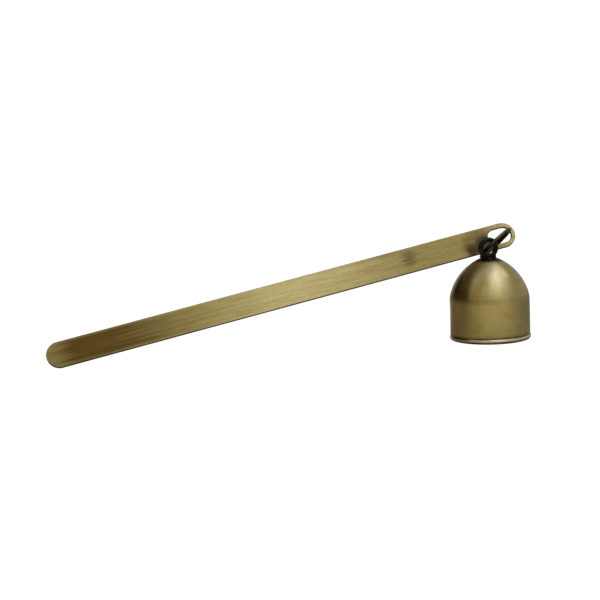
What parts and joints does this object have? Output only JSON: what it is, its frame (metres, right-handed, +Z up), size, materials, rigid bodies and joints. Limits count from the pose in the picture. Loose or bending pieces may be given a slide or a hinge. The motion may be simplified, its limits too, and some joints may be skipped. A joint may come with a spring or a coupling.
{
  "type": "candle snuffer",
  "caption": "Candle snuffer: a small spun bell with a beaded rim, hung by an eye and a loose wire ring from a long flat strip handle with round ends.",
  "frame": {"origin": "centre of the bell's mouth, in the plane of the rim that the bell stands on", "axes": "+Z up along the bell's axis, X along the handle, whose grip end lies towards -X, and Y across it"},
  "size_m": [0.1665, 0.028, 0.0389],
  "materials": {
    "spun_brass": "antique brass, spun and brushed round the bell",
    "brushed_brass": "antique brass, brushed along the strip",
    "dark_brass": "blackened patina, worn to brass on the ridges",
    "plain_brass": "plain turned brass"
  },
  "bodies": {
    "bell": {"bell_cup": "spun_brass", "eye_bolt": "dark_brass", "inner_washer": "plain_brass", "hex_nut": "plain_brass"},
    "link": {"link_ring": "dark_brass"},
    "handle": {"handle_bar": "brushed_brass"}
  },
  "joints": [
    {"name": "link_in_eye", "type": "hinge", "parent": "bell", "child": "link", "pos_m": [0, 0, 0.03151], "axis": [-0.0872, 0.9962, 0], "range_deg": [0, 35]},
    {"name": "handle_on_link", "type": "hinge", "parent": "link", "child": "handle", "pos_m": [0.00423, 0.00464, 0.03246], "axis": [-0.5831, 0.3845, 0.7157], "range_deg": [-115, 25]}
  ]
}
